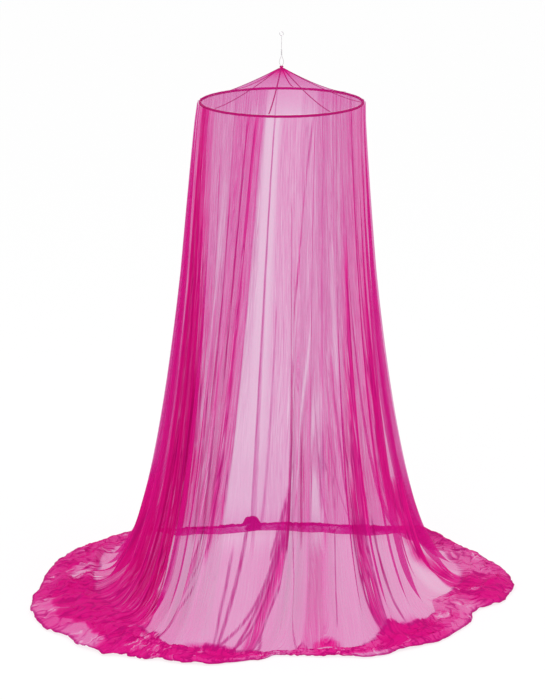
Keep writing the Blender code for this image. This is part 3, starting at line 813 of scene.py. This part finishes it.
# %% [markdown]
# ## The two widths of net
#
# Each width starts as a flat grid, as the cloth did, and every point of the grid is then
# carried to its place in the folds. Its UV map is in metres of cloth, measured along the
# folded sheet, with a small drift so that streaks don't run ruler-straight. The hem is the
# last centimetre, turned over, so it has three more layers. Fullness picks the shade of
# pink. It follows the layers, counts for less low down, where the cloth opens out, and for
# more at the two sides, where the net hangs fullest.

# %% The two widths of net
COLUMNS, HANGING_ROWS, FLOOR_ROWS = 1020, 50, 47
# The hem also gets painted shade, a darker pink.
HEM_WIDTH, HEM_LAYERS, HEM_PAINTED_SHADE = 0.010, 3.0, 0.9


def net_numbers(at, down, along):
    """The numbers that the finish reads at each point of a width."""
    layers, painted_shade, streaks, crumpled = net_layers(at, down)
    from_hem = np.concatenate([np.cumsum(along[::-1], axis=0)[::-1], np.zeros((1, COLUMNS))])
    hem = ease(np.clip(1.5 - from_hem / HEM_WIDTH, 0, 1))
    layers, painted_shade = layers + HEM_LAYERS * hem, np.maximum(painted_shade, HEM_PAINTED_SHADE * hem)
    at_sides = np.abs(np.sin(np.radians(bearing_at(at, "waist")))) ** 4
    low_down = rising(down, 0.50, 0.12)
    fullness = (0.35 * layer_table(at, down) + 0.65 * layers) * (1 - 0.35 * low_down) + 2.6 * at_sides
    return dict(layers=layers, fullness=fullness, painted_shade=painted_shade, streaks=streaks, crumpled=crumpled)


def net_width(name, first_fold, folds, node):
    rows = np.concatenate([np.linspace(0, 1, HANGING_ROWS, endpoint=False), np.linspace(1, 2, FLOOR_ROWS)])
    at, down = np.meshgrid(first_fold - 0.5 + folds * np.linspace(0, 1, COLUMNS), rows)
    points = net_surface(at, down)
    across = np.linalg.norm(np.diff(points, axis=1), axis=2)
    along = np.linalg.norm(np.diff(points, axis=0), axis=2)
    grid = {}

    def place(u, v):
        grid["row"] = np.rint(v * (len(rows) - 1)).astype(int)
        grid["column"] = np.rint(u * (COLUMNS - 1)).astype(int)
        return points[grid["row"], grid["column"]]

    piece = laid_grid(COLUMNS - 1, len(rows) - 1, place)
    piece.name = piece.data.name = name
    mesh, row, column = piece.data, grid["row"], grid["column"]

    width = np.concatenate([[0], np.cumsum(across[HANGING_ROWS // 2])])
    length = np.concatenate([[0], np.cumsum(along.mean(1))])
    drift = 0.035 * wander_both(at * 0.9, down * 1.7 + 60, 47)
    drift = drift + 0.009 * wander_both(at * 2.3, down * 7.0 + 90, 48)
    corners = np.empty(len(mesh.loops), int)
    mesh.loops.foreach_get("vertex_index", corners)
    u = width[column[corners]] + drift[row[corners], column[corners]]
    mesh.uv_layers[0].data.foreach_set("uv", np.stack([u, length[row[corners]]], axis=1).ravel())
    mesh.uv_layers[0].name = "UVMap"
    for key, values in net_numbers(at, down, along).items():
        layer = mesh.attributes.new(key, "FLOAT", "POINT")
        layer.data.foreach_set("value", values[row, column].astype(np.float32))

    tie(piece, net_pink, node)


net_width("net_front", 0, len(FRONT_FOLDS), "drape_front")
net_width("net_back", len(FRONT_FOLDS), len(BACK_FOLDS), "drape_back")

# %% [markdown]
# ## The crown
#
# The crown is eight gores of the same net, sewn together along eight bound seams. Hung by
# its tip it draws into a shallow cone that sags a little between the seams, and near the
# tip the spare width of each gore gathers into small radial creases, so it looks denser
# there than out by the hoop. A cone primitive could be sagged to this shape, but a grid
# wrapped round keeps the rows even, and its doubled edge is merged into one.

# %% The crown's shape
SEAM_COUNT, FIRST_SEAM = 8, math.radians(-9)
CROWN_SAG_POWER, GORE_SAG = 1.35, 0.007
NECK_RADIUS, CROWN_THICKNESS = 0.0046, 0.0014
NECK_SHARE, TIP_SHARE = 0.08, 0.018
CREASE_COUNT, CREASE_HEIGHT = 40, 0.0012


def crown_height(share, bearing):
    """Height of the crown at a share of the hoop's radius, and at a bearing."""
    rise = (CROWN_RISE - SLEEVE_OUTSIDE) * (1 - share) ** CROWN_SAG_POWER
    between = 0.5 - 0.5 * np.cos(SEAM_COUNT * (bearing - FIRST_SEAM))
    sag = GORE_SAG * between * np.sin(math.pi * share)
    return FLOOR + HOOP_HEIGHT + SLEEVE_OUTSIDE + GAP + CROWN_THICKNESS / 2 + rise - sag


def crown_point(u, v):
    """u goes round, v goes from the neck's top at 0 to the hoop at 1."""
    bearing = FIRST_SEAM + 2 * math.pi * u
    neck = np.clip(v / NECK_SHARE, 0, 1)
    share = TIP_SHARE + (1 - TIP_SHARE) * np.clip((v - NECK_SHARE) / (1 - NECK_SHARE), 0, 1) ** 1.15
    creases = np.cos(CREASE_COUNT * bearing + 5 * wander(bearing * 3, 31)) * (1 - share) ** 3
    height = crown_height(share, bearing) + CREASE_HEIGHT * creases * np.clip(share * 20, 0, 1)
    tuft = NECK_RADIUS * (1 + 0.35 * (1 - neck) ** 2 + 0.10 * np.cos(16 * bearing) * (1 - neck))
    radius = tuft * (1 - ease(neck)) + np.maximum(share * HOOP_RADIUS, NECK_RADIUS) * ease(neck)
    height = (FLOOR + TIP_HEIGHT) * (1 - neck) + height * neck
    return np.stack([radius * np.sin(bearing), -radius * np.cos(bearing), height], axis=1)


# %% The crown
crown = laid_grid(256, 36, crown_point)
select_only(crown)
bpy.ops.object.mode_set(mode="EDIT")
bpy.ops.mesh.select_all(action="SELECT")
bpy.ops.mesh.remove_doubles(threshold=1e-5)
bpy.ops.mesh.normals_make_consistent(inside=False)
bpy.ops.object.mode_set(mode="OBJECT")

places = np.array([vertex.co[:] for vertex in crown.data.vertices])
share = np.hypot(places[:, 0], places[:, 1]) / HOOP_RADIUS
layers = 1.0 + 1.0 * np.clip((1 - share) * 1.4, 0, 1) + 7.0 * np.clip(1 - share / 0.22, 0, 1) ** 2
for key in ("layers", "fullness"):
    layer = crown.data.attributes.new(key, "FLOAT", "POINT")
    layer.data.foreach_set("value", layers.astype(np.float32))
settle(crown, "crown_gores", net_pink, "crown_net")

# %% [markdown]
# ## The binding's finish
#
# Seam tapes, casing and whipping are all the same dyed tape and net, but several layers
# thick and pulled tight, so they look solid and darker. Bands across the height give the
# weave's ribs, fine noise gives the fluff of the yarn, and both are felt as well as seen.

# %% The binding's finish
CASING_PINK = (0.46, 0.003, 0.15, 1)
SEAM_PINK = (0.46, 0.005, 0.17, 1)
RIBS = 380.0


def binding_finish(name, colour):
    # The tape glows faintly in its own colour, painted light that lifts its shade.
    made, tree, shader = finish(name, 0.8, Specular_IOR_Level=0.15, Emission_Strength=0.15)
    place = tree.node("ShaderNodeTexCoord", output=3)
    bands = {"wave_type": "BANDS", "bands_direction": "Z"}
    weave = tree.node("ShaderNodeTexWave", bands, Vector=place, Scale=RIBS, Distortion=2.0)
    speck = tree.node("ShaderNodeTexNoise", Vector=place, Scale=260.0, Detail=3.0)
    dark = tuple(part * 0.6 for part in colour[:3]) + (1,)
    surface_colour = (weave * 0.4 + speck * 0.6).smooth(0.2, 0.8).mix(dark, colour)
    feed(surface_colour, shader, "Base Color", "Emission Color")
    bump = tree.node("ShaderNodeBump", Height=weave * 0.5 + speck, Strength=0.5, Distance=0.0006)
    feed(bump, shader, "Normal")
    return made


casing_pink = binding_finish("woven pink casing", CASING_PINK)
seam_pink = binding_finish("woven dark pink seam tape", SEAM_PINK)

# %% [markdown]
# ## Seam tapes
#
# Each seam between two gores is bound with a narrow tape, which carries the net's weight to
# the tip. One tape is a long grid laid on the crown's own curve, with its edges turned
# down, and a Solidify modifier gives it a wall. A curve with a flat profile would twist as it
# goes over the neck.

# %% Seam tapes
TAPE_WIDTH, TAPE_THICKNESS, TAPE_TURN = 0.0046, 0.0010, 0.0009
TAPE_START, TAPE_END, TAPE_LIFT = 0.034, 0.992, 0.0022


def seam_tape(bearing):
    """A flat tape that lies along one seam of the crown, with its edges turned down."""

    def place(u, v):
        share = TAPE_START + (TAPE_END - TAPE_START) * v
        across = (u - 0.5) * TAPE_WIDTH
        turned_down = TAPE_TURN * np.abs(2 * u - 1) ** 2
        x = share * HOOP_RADIUS * math.sin(bearing) + across * math.cos(bearing)
        y = -share * HOOP_RADIUS * math.cos(bearing) + across * math.sin(bearing)
        return np.stack([x, y, crown_height(share, bearing) + TAPE_LIFT - turned_down], axis=1)

    piece = laid_grid(5, 60, place)
    wall = piece.modifiers.new("tape thickness", "SOLIDIFY")
    wall.thickness = TAPE_THICKNESS
    wall.offset = -1
    bpy.ops.object.modifier_apply(modifier=wall.name)
    return piece


for number in range(SEAM_COUNT):
    tape = seam_tape(FIRST_SEAM + 2 * math.pi * number / SEAM_COUNT)
    settle(tape, f"seam_tape_{number + 1}", seam_pink, f"crown_seam_{number + 1}")

# %% [markdown]
# ## The puckered casing
#
# The rod of the hoop is hidden in a narrow tube of cloth, and because the net is gathered
# into it, the tube puckers all the way round. A torus is the plain shape. Its points are then
# moved in and out by a smooth random curve, and it is flattened a little underneath.

# %% The puckered casing
CASING_RADIUS = 0.0048
PUCKERS_A_RADIAN, PUCKER_DEPTH, FLATTENED = 46, 0.09, 0.10
select_only()
bpy.ops.mesh.primitive_torus_add(
    location=(0, 0, FLOOR + HOOP_HEIGHT),
    major_segments=420,
    minor_segments=14,
    major_radius=HOOP_RADIUS,
    minor_radius=CASING_RADIUS,
)
casing = bpy.context.object
for vertex in casing.data.vertices:
    x, y, z = vertex.co
    out, bearing = math.hypot(x, y) - HOOP_RADIUS, math.atan2(x, -y)
    angle = math.atan2(z, out)
    pucker = float(wander(np.array([bearing * PUCKERS_A_RADIAN + 900 + 1.2 * math.sin(angle)]), 61)[0])
    swell = 1 + PUCKER_DEPTH * pucker - FLATTENED * max(0.0, -math.sin(angle)) ** 4
    ring = HOOP_RADIUS + out * swell
    vertex.co = (ring * math.sin(bearing), -ring * math.cos(bearing), z * swell)
casing.data.shade_smooth()
settle(casing, "hoop_casing", casing_pink, "hoop_sleeve")

# %% [markdown]
# ## The whipping at the crown's tip
#
# The gathered tip is tied with three tight turns of cord. A cord wound round the axis is a
# curve with a round bevel, which becomes a mesh before its place is applied. The same two
# helpers also make the nylon loop and knot.

# %% The whipping at the crown's tip
CORD_THICKNESS, WHIPPING_CLEAR, WHIPPING_INSET = 0.0017, 0.0010, 0.0008
WHIPPING_RISE, WHIPPING_TURNS = 0.0032, 3


def tube_along(points, thickness):
    """A round cord along a line of points, as a curve."""
    select_only()
    curve = bpy.data.curves.new("cord", "CURVE")
    curve.dimensions = "3D"
    curve.bevel_depth = thickness / 2
    curve.bevel_resolution = 3
    curve.use_fill_caps = True
    line = curve.splines.new("POLY")
    line.points.add(len(points) - 1)
    for target, point in zip(line.points, points):
        target.co = (*point, 1)
    piece = bpy.data.objects.new("cord", curve)
    bpy.context.scene.collection.objects.link(piece)
    return piece


def cord_mesh(points, thickness):
    """The same cord as a mesh."""
    select_only(tube_along(points, thickness))
    bpy.ops.object.convert(target="MESH")
    bpy.context.object.data.shade_smooth()
    return bpy.context.object


def wound(radius, foot, rise, turns, steps_a_turn):
    """Points of a cord wound round the axis, from its foot upwards."""
    points, steps = [], turns * steps_a_turn
    for i in range(steps + 1):
        turn = 2 * math.pi * i / steps_a_turn
        points.append((radius * math.sin(turn), -radius * math.cos(turn), foot + rise * i / steps))
    return points


whipping_radius = NECK_RADIUS + CROWN_THICKNESS / 2 + WHIPPING_CLEAR
whipping_foot = FLOOR + TIP_HEIGHT - BINDING_DROP + WHIPPING_INSET
turns = wound(whipping_radius, whipping_foot, WHIPPING_RISE, WHIPPING_TURNS, 32)
settle(cord_mesh(turns, CORD_THICKNESS), "tip_whipping", seam_pink, "crown_binding")

# %% [markdown]
# ## The line's finish
#
# Nylon line is clear and glossy, but so thin that it shows as a pale grey thread. Glass
# would vanish against the white, so the finish is half see-through and slightly cloudy.

# %% The line's finish
clear, tree, shader = finish("clear nylon", 0.12, IOR=1.53, Specular_IOR_Level=0.6)
cloudy = own_noise(tree, 300.0, 2.0)
feed(cloudy.smooth(0.2, 0.8).mix((0.40, 0.40, 0.41, 1), (0.62, 0.62, 0.62, 1)), shader, "Base Color")
feed(cloudy * 0.25 + 0.40, shader, "Alpha")

# %% [markdown]
# ## Loop, knot and line
#
# The clear nylon line passes down through the crown's tip and back up as a narrow loop, is
# wound on itself in a barrel knot, and rises as a single line to a small ring for the
# ceiling's hook. Held tight by the net's weight, it runs straight.

# %% Loop and knot
LINE_THICKNESS = 0.002
LOOP_HALF_WIDTH, LOOP_NARROW, LOOP_STEPS = 0.0078, 0.0014, 48
KNOT_RADIUS, KNOT_INSET, KNOT_WOUND, KNOT_TURNS = 0.0019, 0.0012, 0.0254, 6
tip = FLOOR + TIP_HEIGHT
loop_foot, loop_top = tip - LOOP_DIP, FLOOR + KNOT_FOOT - GAP
strand = []
for i in range(LOOP_STEPS + 1):
    turn = math.pi * i / LOOP_STEPS
    height = loop_top - (loop_top - loop_foot) * math.sin(turn) ** 0.8
    above = max(0.0, (height - tip) / (loop_top - tip))
    width = LOOP_NARROW + (LOOP_HALF_WIDTH - LOOP_NARROW) * math.sin(math.pi * above**0.8) ** 1.2
    strand.append((-math.copysign(width, math.cos(turn)) * min(1.0, abs(math.cos(turn)) * 3), 0, height))
settle(cord_mesh(strand, LINE_THICKNESS), "line_loop", clear, "hanging_loop")
turns = wound(KNOT_RADIUS, FLOOR + KNOT_FOOT + KNOT_INSET, KNOT_WOUND, KNOT_TURNS, 20)
settle(cord_mesh(turns, LINE_THICKNESS), "barrel_knot", clear, "hanging_knot")

# %% The line
foot, top = FLOOR + KNOT_FOOT + KNOT_LENGTH + GAP, FLOOR + LINE_TOP - GAP
line = tube_along([(0, 0, foot + (top - foot) * i / 16) for i in range(17)], LINE_THICKNESS)
line.name = line.data.name = "hanging_nylon"
tie(line, clear, "hanging_line")
top - foot
print("line", round(top - foot, 4), "m, loop", round(loop_top - loop_foot, 4), "m deep")

# %% [markdown]
# ## The ring's steel and the hidden rod
#
# The ring and the rod keep their solids, whose shapes are right, and need only a finish.
# Drawn wire is bright with faint, uneven dulling, and the rod is a pale moulded plastic.

# %% The ring's steel and the hidden rod
bright, tree, shader = finish("bright wire", 0.25, Metallic=1.0)
drawn = own_noise(tree, 900.0, 2.0)
feed(drawn.mix((0.50, 0.50, 0.52, 1), (0.74, 0.74, 0.75, 1)), shader, "Base Color")
feed(drawn * 0.2 + 0.18, shader, "Roughness")
rod_white, tree, shader = finish("rod white", 0.45)
grain = own_noise(tree, 120.0, 3.0)
feed(grain.mix((0.72, 0.72, 0.70, 1), (0.84, 0.84, 0.83, 1)), shader, "Base Color")
for node, made in (("ceiling_ring", bright), ("hoop", rod_white)):
    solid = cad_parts[node]
    solid.data.materials.clear()
    solid.data.materials.append(made)
